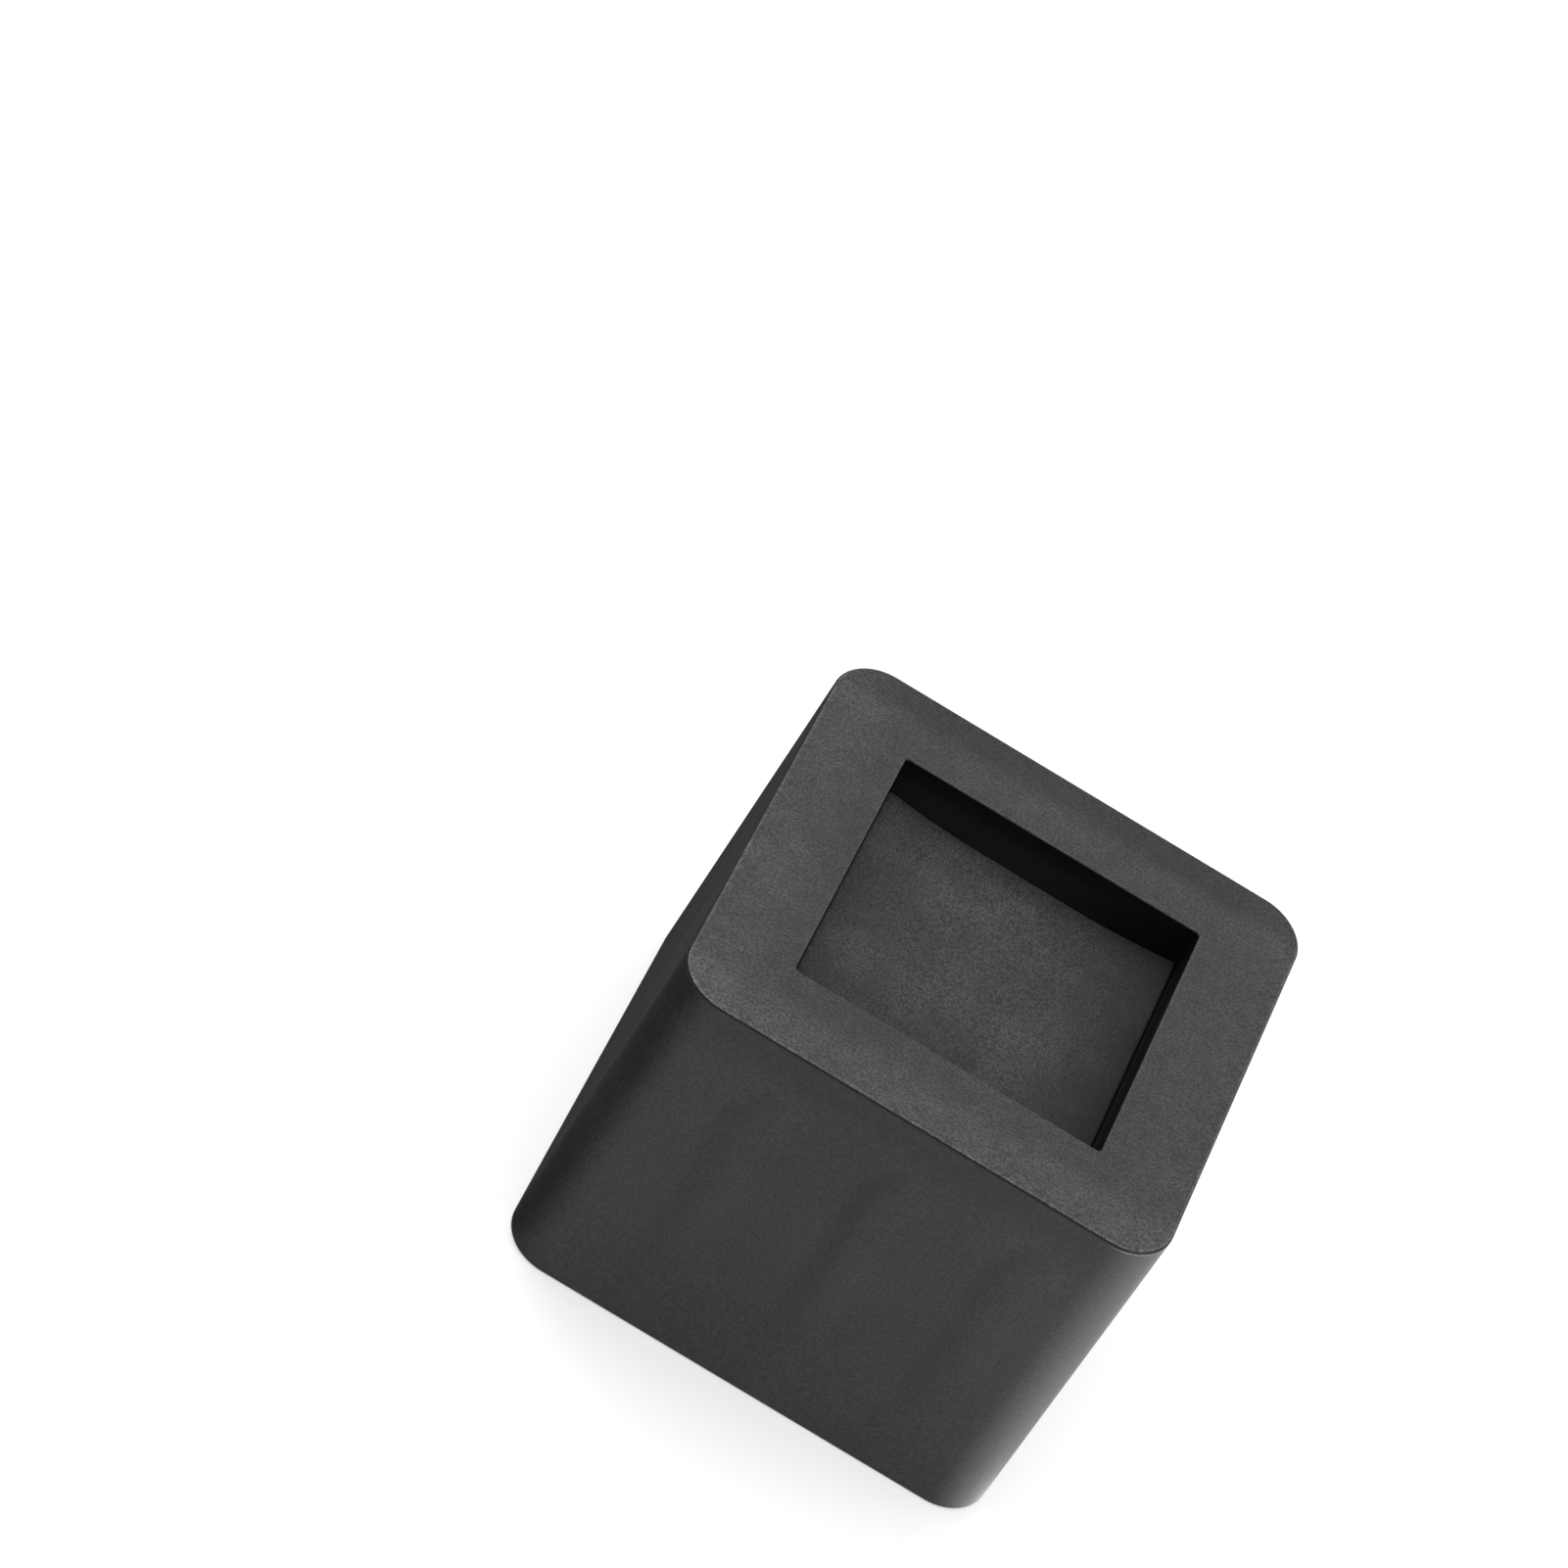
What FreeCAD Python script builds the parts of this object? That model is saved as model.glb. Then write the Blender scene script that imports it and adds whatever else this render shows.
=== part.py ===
import FreeCAD, Part
import math
import os

os.makedirs("parts", exist_ok=True)

# Driving dimensions in millimetres.
# The part stands on z = 0 with the base centred on the origin, +Z up.
# The face that the photograph shows in full looks towards minus Y.
BASE_WIDTH = 101.6
TOP_WIDTH = 100.0
HEIGHT = 81.5
CORNER_RADIUS = 9.8
TOP_EDGE_RADIUS = 0.9
BASE_EDGE_RADIUS = 0.8

# The square recess that takes the furniture leg
RECESS_WIDTH = 63.4
RECESS_DEPTH = 12.7
RECESS_DRAFT = 0.25
RECESS_CORNER_RADIUS = 0.9
RECESS_RIM_RADIUS = 0.5

# The cored underside
OUTER_WALL = 4.0
RECESS_WALL = 3.6
DECK = 4.5
FLOOR_SLAB = 4.2
CAVITY_CORNER_RADIUS = 6.0
RIB_POSITIONS = (-27.0, 0.0, 27.0)
RIB_ROOT = 3.2
RIB_TIP = 2.4
RIB_HEAD_BELOW_RIM = 11.0
CELL_CORNER_RADIUS = 1.2

# The foam pad that lies loose on the recess floor
PAD_THICKNESS = 2.4
PAD_END_GAP = 0.15
PAD_SIDE_GAP = 0.3
PAD_LIFT = 1.7
PAD_FLAT_SHARE = 0.34
PAD_CORNER_RADIUS = 0.8

DRAFT_PER_MM = (BASE_WIDTH - TOP_WIDTH) / 2.0 / HEIGHT
FLOOR_Z = HEIGHT - RECESS_DEPTH
SLAB_Z = FLOOR_Z - FLOOR_SLAB
DECK_Z = HEIGHT - DECK
RIB_HEAD_Z = HEIGHT - RIB_HEAD_BELOW_RIM
BLOCK_HALF = RECESS_WIDTH / 2.0 + RECESS_WALL

# How far the recess cutter stands proud of the rim, so that it cuts clean through
CUTTER_PROUD = 2.0
# Edges and corners are picked by place, within these distances
PLANE_TOLERANCE = 1e-4
PICK_MARGIN = 1.5


def outer_half(z):
    """Half width of the outer faces at height z."""
    return BASE_WIDTH / 2.0 - DRAFT_PER_MM * z


def inner_half(z):
    """Half width of the cavity at height z."""
    return outer_half(z) - OUTER_WALL


def ring(x0, x1, y0, y1, z):
    """The four corners of a rectangle at height z, in order round the axis."""
    return [
        FreeCAD.Vector(x1, y1, z),
        FreeCAD.Vector(x0, y1, z),
        FreeCAD.Vector(x0, y0, z),
        FreeCAD.Vector(x1, y0, z),
    ]


def frustum(lower, upper):
    """Solid with flat faces between two rings of four corners."""
    under = lower[::-1]
    faces = [
        Part.Face(Part.makePolygon(under + under[:1])),
        Part.Face(Part.makePolygon(upper + upper[:1])),
    ]
    for i in range(4):
        j = (i + 1) % 4
        side = [lower[i], lower[j], upper[j], upper[i], lower[i]]
        faces.append(Part.Face(Part.makePolygon(side)))
    return Part.Solid(Part.Shell(faces))


def square_frustum(half0, z0, half1, z1):
    """Four sided frustum round the axis, given by its half width at two heights."""
    lower = ring(-half0, half0, -half0, half0, z0)
    upper = ring(-half1, half1, -half1, half1, z1)
    return frustum(lower, upper)


def uprights(shape, keep=None):
    """Edges that climb from the foot of a frustum to its head."""
    found = []
    for edge in shape.Edges:
        box = edge.BoundBox
        if box.ZLength < 0.5 * shape.BoundBox.ZLength:
            continue
        centre = edge.CenterOfMass
        if keep is None or keep(centre.x, centre.y):
            found.append(edge)
    return found


def edges_at(shape, z, within=None):
    """Edges lying in the plane z, all of them or only those near the axis."""
    found = []
    for edge in shape.Edges:
        box = edge.BoundBox
        if max(abs(box.ZMin - z), abs(box.ZMax - z)) > PLANE_TOLERANCE:
            continue
        centre = edge.CenterOfMass
        reach = max(abs(centre.x), abs(centre.y))
        if within is None or reach <= within:
            found.append(edge)
    return found


def outer_block():
    """The drafted block with rounded corners and softened edges."""
    block = square_frustum(outer_half(0.0), 0.0, outer_half(HEIGHT), HEIGHT)
    block = block.makeFillet(CORNER_RADIUS, uprights(block))
    block = block.makeFillet(TOP_EDGE_RADIUS, edges_at(block, HEIGHT))
    return block.makeFillet(BASE_EDGE_RADIUS, edges_at(block, 0.0))


def recess_cut():
    """The leg recess, a shade smaller at its floor so that it leaves the tool."""
    floor_half = RECESS_WIDTH / 2.0 - RECESS_DRAFT
    slope = RECESS_DRAFT / RECESS_DEPTH
    head_half = RECESS_WIDTH / 2.0 + slope * CUTTER_PROUD
    cut = square_frustum(floor_half, FLOOR_Z, head_half, HEIGHT + CUTTER_PROUD)
    return cut.makeFillet(RECESS_CORNER_RADIUS, uprights(cut))


def rib_half(z):
    """Half thickness of a rib, thicker at its root under the slab."""
    share = z / RIB_HEAD_Z
    return (RIB_TIP + (RIB_ROOT - RIB_TIP) * share) / 2.0


def cell_bounds(z):
    """The strips left free between the ribs at height z, from low to high."""
    low = [-inner_half(z)]
    high = []
    for pos in RIB_POSITIONS:
        high.append(pos - rib_half(z))
        low.append(pos + rib_half(z))
    high.append(inner_half(z))
    return list(zip(low, high))


def cell_core(ix, iy):
    """One cell of the rib grid from under the base up to the rib heads."""
    rings = []
    for z in (0.0, RIB_HEAD_Z):
        bounds = cell_bounds(z)
        x0, x1 = bounds[ix]
        y0, y1 = bounds[iy]
        rings.append(ring(x0, x1, y0, y1, z))
    cell = frustum(rings[0], rings[1])
    reach = inner_half(0.0) - PICK_MARGIN

    def in_body_corner(x, y):
        return min(abs(x), abs(y)) > reach

    def elsewhere(x, y):
        return not in_body_corner(x, y)

    cell = cell.makeFillet(CELL_CORNER_RADIUS, uprights(cell, elsewhere))
    wide = uprights(cell, in_body_corner)
    if wide:
        cell = cell.makeFillet(CAVITY_CORNER_RADIUS, wide)
    return cell


def recess_block():
    """The solid left round and under the recess inside the cavity."""
    size = 2.0 * BLOCK_HALF
    height = HEIGHT - SLAB_Z
    corner = FreeCAD.Vector(-BLOCK_HALF, -BLOCK_HALF, SLAB_Z)
    return Part.makeBox(size, size, height, corner)


def gallery_core():
    """The open channel over the rib heads, all round the recess wall."""
    core = square_frustum(inner_half(RIB_HEAD_Z), RIB_HEAD_Z, inner_half(DECK_Z), DECK_Z)
    return core.makeFillet(CAVITY_CORNER_RADIUS, uprights(core))


def cavity_core():
    """Everything that the underside is cored out by."""
    count = len(RIB_POSITIONS) + 1
    cells = []
    for ix in range(count):
        for iy in range(count):
            cells.append(cell_core(ix, iy))
    core = gallery_core().fuse(cells)
    core = core.cut(recess_block())
    return core.removeSplitter()


def riser_body():
    """The moulding: outer block, recess with a softened rim, and cored underside."""
    body = outer_block().cut(recess_cut())
    rim = edges_at(body, HEIGHT, within=RECESS_WIDTH / 2.0 + PICK_MARGIN)
    body = body.makeFillet(RECESS_RIM_RADIUS, rim)
    return body.cut(cavity_core())


def pad_profile():
    """Outline of the pad seen from the front: flat in the middle, ends rising."""
    half = RECESS_WIDTH / 2.0 - RECESS_DRAFT - PAD_END_GAP
    flat = half * PAD_FLAT_SHARE
    run = half - flat
    radius = (run * run + PAD_LIFT * PAD_LIFT) / (2.0 * PAD_LIFT)
    sweep = math.asin(run / radius)

    def on_arc(side, r, angle):
        """Point at an angle up the arc on one side, at radius r."""
        x = side * (flat + r * math.sin(angle))
        z = FLOOR_Z + radius - r * math.cos(angle)
        return FreeCAD.Vector(x, 0.0, z)

    def layer(r):
        """The pad's lower or upper skin, with its two end points."""
        angles = (0.0, sweep / 2.0, sweep)
        left = [on_arc(-1.0, r, a) for a in angles]
        right = [on_arc(1.0, r, a) for a in angles]
        edges = [
            Part.Arc(left[2], left[1], left[0]).toShape(),
            Part.makeLine(left[0], right[0]),
            Part.Arc(right[0], right[1], right[2]).toShape(),
        ]
        return edges, left[2], right[2]

    low, low_left, low_right = layer(radius)
    high, high_left, high_right = layer(radius - PAD_THICKNESS)
    ends = [Part.makeLine(low_left, high_left), Part.makeLine(low_right, high_right)]
    return Part.Wire(Part.__sortEdges__(low + high + ends))


def recess_pad():
    """The die cut pad, whose two ends ride up against the recess walls."""
    depth = RECESS_WIDTH - 2.0 * (RECESS_DRAFT + PAD_SIDE_GAP)
    face = Part.Face(pad_profile())
    face.translate(FreeCAD.Vector(0.0, -depth / 2.0, 0.0))
    pad = face.extrude(FreeCAD.Vector(0.0, depth, 0.0))
    corners = []
    for edge in pad.Edges:
        centre = edge.CenterOfMass
        far = min(abs(centre.x), abs(centre.y)) > RECESS_WIDTH / 2.0 - PICK_MARGIN
        if far and abs(edge.Length - PAD_THICKNESS) < PAD_THICKNESS / 10.0:
            corners.append(edge)
    return pad.makeFillet(PAD_CORNER_RADIUS, corners)


def export(name, shape):
    """Write one node to its STEP file and print what was built."""
    solid = shape.Solids[0] if len(shape.Solids) == 1 else shape
    solid.exportStep("parts/" + name + ".step")
    box = solid.BoundBox
    print(name, "valid", solid.isValid(), "solids", len(shape.Solids))
    print("  faces", len(solid.Faces), "volume", round(solid.Volume, 1))
    print("  x", round(box.XMin, 3), round(box.XMax, 3))
    print("  y", round(box.YMin, 3), round(box.YMax, 3))
    print("  z", round(box.ZMin, 3), round(box.ZMax, 3))


export("riser_body", riser_body())
export("recess_pad", recess_pad())
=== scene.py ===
import logging
import math
from dataclasses import dataclass
from enum import Enum
from functools import cached_property
from typing import Any, Callable, Iterable, Sequence, Union

import bmesh
import bpy
from mathutils import Matrix, Vector


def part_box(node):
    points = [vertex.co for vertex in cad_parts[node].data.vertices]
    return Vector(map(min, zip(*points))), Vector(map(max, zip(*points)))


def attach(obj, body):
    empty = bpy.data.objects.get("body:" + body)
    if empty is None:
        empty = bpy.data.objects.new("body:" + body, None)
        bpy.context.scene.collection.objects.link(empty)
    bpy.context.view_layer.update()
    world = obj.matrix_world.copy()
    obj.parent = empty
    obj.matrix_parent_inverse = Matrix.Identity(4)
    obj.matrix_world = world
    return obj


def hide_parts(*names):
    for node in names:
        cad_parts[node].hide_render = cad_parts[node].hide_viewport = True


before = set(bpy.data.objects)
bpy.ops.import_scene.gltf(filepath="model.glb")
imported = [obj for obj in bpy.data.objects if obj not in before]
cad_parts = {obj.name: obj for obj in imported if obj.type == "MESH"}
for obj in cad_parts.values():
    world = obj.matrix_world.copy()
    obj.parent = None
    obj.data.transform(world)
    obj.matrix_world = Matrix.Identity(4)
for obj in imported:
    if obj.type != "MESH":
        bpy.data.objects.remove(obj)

LOG = logging.getLogger("bed_riser")
MM = 0.001
WHITE = (1.0, 1.0, 1.0, 1.0)
UP = Vector((0.0, 0.0, 1.0))

# Points nearer than WELD are one point, and a cut passes through a point nearer than CUT_SNAP
WELD = 1e-6
CUT_SNAP = 1e-7

Span = tuple[float, float]
Point = tuple[float, float, float]
Node = bpy.types.Node
Tree = bpy.types.NodeTree
Source = Union[bpy.types.Node, bpy.types.NodeSocket]
Layers = tuple[Source, Source, Source]

# A Map Range node with this setting eases its step in and out
EASED = {"interpolation_type": "SMOOTHSTEP"}

# A Mix node's sockets by number: for plain values, and for colours with their result
FACTOR, VALUE_A, VALUE_B = 0, 2, 3
COLOUR_A, COLOUR_B, MIXED = 6, 7, 2


def linear_from_hex(code: str) -> tuple[float, float, float, float]:
    """Turn an sRGB hex colour into the linear values that a shader takes.

    Args:
        code: six hex digits, with or without a leading hash.

    Returns:
        Linear red, green and blue, and an alpha of one.
    """
    digits = code.lstrip("#")
    values = []
    for i in (0, 2, 4):
        c = int(digits[i : i + 2], 16) / 255.0
        values.append(c / 12.92 if c <= 0.04045 else ((c + 0.055) / 1.055) ** 2.4)
    return (values[0], values[1], values[2], 1.0)


def per_metre(size_mm: float) -> float:
    """Turn a real feature size in millimetres into a texture scale."""
    return 1.0 / (size_mm * MM)


def in_metres(*sizes_mm: float) -> list[float]:
    """Turn sizes in millimetres into metres."""
    return [size * MM for size in sizes_mm]


def add_node(
    tree: Tree, kind: str, feeds: Union[dict[Any, Any], Sequence[Any]] = (), **settings: Any
) -> Node:
    """Add one shader node with its settings and links.

    Args:
        tree: the node tree to add to.
        kind: Blender's name of the node type, without ShaderNode in front.
        feeds: what feeds its inputs, in their order or by name or number: a plain
            value, a socket, or a node, of which the first output is taken.
        settings: the node's own settings.

    Returns:
        The new node.
    """
    node = tree.nodes.new("ShaderNode" + kind)
    for name, value in settings.items():
        setattr(node, name, value)
    pairs = feeds.items() if isinstance(feeds, dict) else enumerate(feeds)
    for key, feed in pairs:
        if isinstance(feed, bpy.types.Node):
            feed = feed.outputs[0]
        if isinstance(feed, bpy.types.NodeSocket):
            tree.links.new(feed, node.inputs[key])
        else:
            node.inputs[key].default_value = feed
    return node


def soft_line(
    tree: Tree,
    place: Source,
    at_mm: float,
    half_mm: Span,
    values: Span,
) -> Node:
    """Draw a soft line where a place comes near a fixed one.

    Args:
        tree: the node tree to add to.
        place: the place along one axis, in metres.
        at_mm: where the middle of the line lies, in millimetres.
        half_mm: how far from its middle it begins and ends to fade, in millimetres.
        values: the values on the line and off it.

    Returns:
        The value at each place.
    """
    offset = add_node(tree, "Math", (place, at_mm * MM), operation="SUBTRACT")
    away = add_node(tree, "Math", (offset,), operation="ABSOLUTE")
    return add_node(tree, "MapRange", (away, *in_metres(*half_mm), *values), **EASED)


def seen_directly(tree: Tree) -> Node:
    """Tell what the camera, a reflection or a clear piece shows from what only lights.

    Args:
        tree: the node tree to add to.

    Returns:
        One for camera, glossy and transmission rays, else zero.
    """
    path = add_node(tree, "LightPath").outputs
    rays = (path["Is Camera Ray"], path["Is Glossy Ray"])
    seen = add_node(tree, "Math", rays, operation="MAXIMUM")
    return add_node(tree, "Math", (seen, path["Is Transmission Ray"]), operation="MAXIMUM")


def empty_material(name: str) -> bpy.types.Material:
    """Make a material whose node tree is empty.

    Args:
        name: the name of the real material.

    Returns:
        The material.
    """
    material = bpy.data.materials.new(name)
    material.use_nodes = True
    material.node_tree.nodes.clear()
    return material


class Facing(Enum):
    """The four outer faces of the riser, by the axis they look along."""

    FRONT = (1, -1.0)
    BACK = (1, 1.0)
    LEFT = (0, -1.0)
    RIGHT = (0, 1.0)


@dataclass(frozen=True)
class RiserSizes:
    """Sizes of the moulded riser in millimetres: the CAD's, and its hairline's height."""

    base_half: float = 50.8
    top_half: float = 50.0
    height: float = 81.5
    corner_radius: float = 9.8
    base_edge: float = 0.8
    top_edge: float = 0.9
    recess_half: float = 31.7
    recess_depth: float = 12.7
    rib_at: tuple[float, ...] = (-27.0, 0.0, 27.0)
    rib_head: float = 70.5
    part_at: float = 80.95

    def half_at(self, z_mm: float) -> float:
        """Half width of the outer faces at a height in millimetres."""
        return self.base_half + (self.top_half - self.base_half) * z_mm / self.height


@dataclass(frozen=True)
class Grain:
    """A pattern of noise, by the size of its features and how much finer it goes."""

    size_mm: float
    detail: float = 2.0
    roughness: float = 0.6

    def feeds(self, place: Source) -> dict[str, Any]:
        """What a noise texture is fed, to draw the pattern at a place."""
        scale = per_metre(self.size_mm)
        return {"Vector": place, "Scale": scale, "Detail": self.detail, "Roughness": self.roughness}


@dataclass
class Skin:
    """A material's node tree, with what a finish reads at each point of the surface."""

    tree: Tree

    @cached_property
    def place(self) -> Source:
        """The point on the object, in metres."""
        return add_node(self.tree, "TexCoord").outputs["Object"]

    @cached_property
    def at(self) -> Any:
        """The same point, as X, Y and Z."""
        return add_node(self.tree, "SeparateXYZ", (self.place,)).outputs

    @cached_property
    def facing(self) -> Any:
        """The surface's own direction there, as X, Y and Z."""
        normal = add_node(self.tree, "NewGeometry").outputs["Normal"]
        return add_node(self.tree, "SeparateXYZ", (normal,)).outputs


@dataclass(frozen=True)
class Finish:
    """What the finishes of a plastic share: its gloss, and the relief that breaks it up."""

    name: str = "plastic"
    ior: float = 1.49
    specular: float = 0.5
    sheen: float = 0.0
    sheen_roughness: float = 0.5
    relief_mm: float = 0.1
    relief_strength: float = 0.5
    # Nearly all of a noise lies between these values
    noise_limits: Span = (0.3, 0.7)

    def build(self) -> bpy.types.Material:
        """Make the material.

        Returns:
            The finished material.
        """
        material = empty_material(self.name)
        tree = material.node_tree
        colour, roughness, relief = self._layers(Skin(tree))
        depth = self.relief_mm * MM
        bumps = {"Strength": self.relief_strength, "Distance": depth, "Height": relief}
        surface = {
            "Base Color": colour,
            "Roughness": roughness,
            "IOR": self.ior,
            "Specular IOR Level": self.specular,
            "Sheen Weight": self.sheen,
            "Sheen Roughness": self.sheen_roughness,
            "Normal": add_node(tree, "Bump", bumps),
        }
        shader = add_node(tree, "BsdfPrincipled", surface)
        add_node(tree, "OutputMaterial", {"Surface": shader})
        return material

    def _layers(self, skin: Skin) -> Layers:
        """Lay out the finish, each in its own way.

        Args:
            skin: what the finish reads.

        Returns:
            The base colour, the roughness and the height of the relief.
        """
        raise NotImplementedError


@dataclass(frozen=True)
class MouldedPolypropylene(Finish):
    """Black polypropylene, injection moulded.

    The mould's top plate is etched, so the rim shows a fine sandy leather grain with
    short streaks. The sides leave the mould by sliding, so they are smoother and
    deeper black, with faint upright bands where the ribs behind have drawn the wall in;
    the bands' darkening and the pale strip beside each are painted shade and highlight.
    Towards the rounded corners the low sheen turns pale at a glancing angle.
    """

    name: str = "moulded_polypropylene"
    rim_hex: str = "#393939"
    side_hex: str = "#2a2a2a"
    specular: float = 0.24
    sheen: float = 0.03
    sheen_roughness: float = 0.32
    relief_mm: float = 0.12
    relief_strength: float = 0.55

    # The etched grain is sandy, with streaks that lie aslant over it
    rim_grain: Grain = Grain(0.5)
    streak_mm: Span = (1.5, 0.5)
    streak_turn_deg: float = -24.0
    streak_share: float = 0.34
    # The matt of the sides is finer than it is drawn here, and would not show at its real size
    side_grain: Grain = Grain(0.6)
    side_grain_share: float = 0.3
    # Large soft clouds over all of it, and small patches where the etching took unevenly
    clouds: Grain = Grain(26.0, 3.0, 0.55)
    patches: Grain = Grain(3.2, 3.0, 0.6)

    # Where each pattern turns from dark to light, and how far the colour follows it
    side_grain_limits: Span = (0.36, 0.64)
    side_tones: Span = (0.72, 1.28)
    rim_grain_limits: Span = (0.5, 0.84)
    rim_tones: Span = (0.56, 1.44)
    cloud_tones: Span = (0.9, 1.1)
    patch_gains: Span = (-0.14, 0.14)

    # Each band is painted shade over its rib with a painted highlight beside it, sways, and hooks
    # over at its head
    band_depths: tuple[float, ...] = (0.75, 1.0, 0.85)
    band_half_mm: Span = (0.3, 4.2)
    band_shade: float = -0.36
    band_highlight_beside_mm: float = 7.0
    band_highlight_half_mm: Span = (0.5, 4.5)
    band_highlight_share: float = 0.45
    sway_mm: float = 5.0
    sway_length_mm: float = 38.0
    hook_mm: float = -4.0
    hook_from_to_mm: Span = (58.0, 74.0)
    head_from_to_mm: Span = (65.5, 72.5)
    foot_from_to_mm: Span = (6.0, 44.0)
    foot_share: float = 0.15
    # A face counts as front or back when it looks this much along Y
    front_tilt: Span = (0.7, 0.72)

    # Painted shade on the sides, a little under the top edge
    under_edge_shade_from_to_mm: Span = (70.0, 77.0)
    under_edge_shade_gain: float = -0.24
    # The etched rim starts on the top edge, as soon as it looks upwards
    rim_from_to_mm: Span = (79.9, 80.6)
    rim_tilt: Span = (0.35, 0.75)
    # Painted light and shade on the rim's margins: axis, where each begins and ends in millimetres,
    # and its gain
    rim_margin_light_and_shade: tuple[tuple[str, float, float, float], ...] = (
        ("Y", -36.5, -43.5, 0.46),
        ("X", -34.0, -44.0, 0.34),
        ("X", 34.0, 40.0, 0.16),
        ("Y", 33.0, 37.0, 0.14),
        ("Y", 39.0, 45.0, -0.46),
    )
    # A painted highlight along the crest of the top edge
    crest_highlight_gain: float = 0.7
    crest_highlight_rises: Span = (0.5, 0.75)
    crest_highlight_falls: Span = (0.93, 0.995)
    # The hairline is painted shade in its groove, and at the front right corner the edge under it
    # has a painted highlight
    hairline_half_mm: Span = (0.12, 0.24)
    hairline_shade: float = 0.12
    arc_highlight_below_mm: float = 0.45
    arc_highlight_half_mm: Span = (0.08, 0.2)
    arc_highlight_from_to_mm: Span = (89.0, 92.5)
    arc_highlight_gain: float = 7.0

    # A low satin on the sides, duller on the etched rim and in the clouds and bands
    side_roughness: float = 0.32
    rim_roughness: float = 0.21
    cloud_roughness: float = 0.08
    band_roughness: float = 0.05
    grain_roughness: float = -0.04

    sizes: RiserSizes = RiserSizes()

    def _layers(self, skin: Skin) -> Layers:
        """Lay out the etched rim and the drawn sides.

        Args:
            skin: what the finish reads.

        Returns:
            The base colour, the roughness and the height of the grain.
        """
        tree = skin.tree
        rim = self._rim_mask(skin)
        bands = self._sink_bands(skin)
        leather = self._leather(skin)
        fine = add_node(tree, "TexNoise", self.side_grain.feeds(skin.place))
        matt = add_node(tree, "Math", (fine, self.side_grain_share), operation="MULTIPLY")
        grain = add_node(tree, "Mix", {FACTOR: rim, VALUE_A: matt, VALUE_B: leather})
        clouds = add_node(tree, "TexNoise", self.clouds.feeds(skin.place))

        in_clouds = (clouds, *self.noise_limits, *self.cloud_tones)
        light = add_node(tree, "MapRange", in_clouds, **EASED)
        on_side = (fine, *self.side_grain_limits, *self.side_tones)
        on_rim = (leather, *self.rim_grain_limits, *self.rim_tones)
        tones = {
            FACTOR: rim,
            VALUE_A: add_node(tree, "MapRange", on_side, **EASED),
            VALUE_B: add_node(tree, "MapRange", on_rim, **EASED),
        }
        factors = [add_node(tree, "Mix", tones), *self._side_tones(skin, rim, bands)]
        factors += [*self._rim_tones(skin, rim), *self._edge_tones(skin, rim)]
        for factor in factors:
            light = add_node(tree, "Math", (light, factor), operation="MULTIPLY")
        side, top = linear_from_hex(self.side_hex), linear_from_hex(self.rim_hex)
        zones = {FACTOR: rim, COLOUR_A: side, COLOUR_B: top}
        zone = add_node(tree, "Mix", zones, data_type="RGBA").outputs[MIXED]
        colour = add_node(tree, "VectorMath", {"Vector": zone, "Scale": light}, operation="SCALE")

        rough: Any = self.side_roughness
        for layer, share in (
            (rim, self.rim_roughness),
            (clouds, self.cloud_roughness),
            (bands, self.band_roughness),
            (grain, self.grain_roughness),
        ):
            rough = add_node(tree, "Math", (layer, share, rough), operation="MULTIPLY_ADD")
        return colour, rough, grain

    def _rim_mask(self, skin: Skin) -> Node:
        """Find the etched top plate.

        Args:
            skin: what the finish reads.

        Returns:
            One on the top plate, zero on the sides.
        """
        tree = skin.tree
        limits = in_metres(*self.rim_from_to_mm)
        high = add_node(tree, "MapRange", (skin.at["Z"], *limits), **EASED)
        flat = add_node(tree, "MapRange", (skin.facing["Z"], *self.rim_tilt), **EASED)
        return add_node(tree, "Math", (high, flat), operation="MULTIPLY")

    def _run(self, skin: Skin) -> Node:
        """Find the place along each side, bent as the bands sway and hook.

        Args:
            skin: what the finish reads.

        Returns:
            The place along X at the front and back, and along Y on the other sides.
        """
        tree = skin.tree
        up = skin.at["Z"]
        waves = {"W": up, "Scale": per_metre(self.sway_length_mm), "Detail": 2.0}
        drift = add_node(tree, "TexNoise", waves, noise_dimensions="1D")
        spread = (drift, self.sway_mm * MM, -self.sway_mm / 2.0 * MM)
        sway = add_node(tree, "Math", spread, operation="MULTIPLY_ADD")
        bent = (up, *in_metres(*self.hook_from_to_mm), 0.0, self.hook_mm * MM)
        hook = add_node(tree, "MapRange", bent, **EASED)
        bend = add_node(tree, "Math", (sway, hook), operation="ADD")
        across = add_node(tree, "Math", (skin.facing["Y"],), operation="ABSOLUTE")
        front = add_node(tree, "MapRange", (across, *self.front_tilt), **EASED)
        ways = {FACTOR: front, VALUE_A: skin.at["Y"], VALUE_B: skin.at["X"]}
        run = add_node(tree, "Mix", ways)
        return add_node(tree, "Math", (run, bend), operation="ADD")

    def _sink_bands(self, skin: Skin) -> Node:
        """Paint faint upright bands of shade on the sides over the ribs, with a painted highlight
        beside each.

        Args:
            skin: what the finish reads.

        Returns:
            How deep the painted shade is at each point, below zero where the painted highlight
            lies.
        """
        tree = skin.tree
        up, run = skin.at["Z"], self._run(skin)
        total: Any = 0.0
        for rib, depth in zip(self.sizes.rib_at, self.band_depths):
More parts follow.
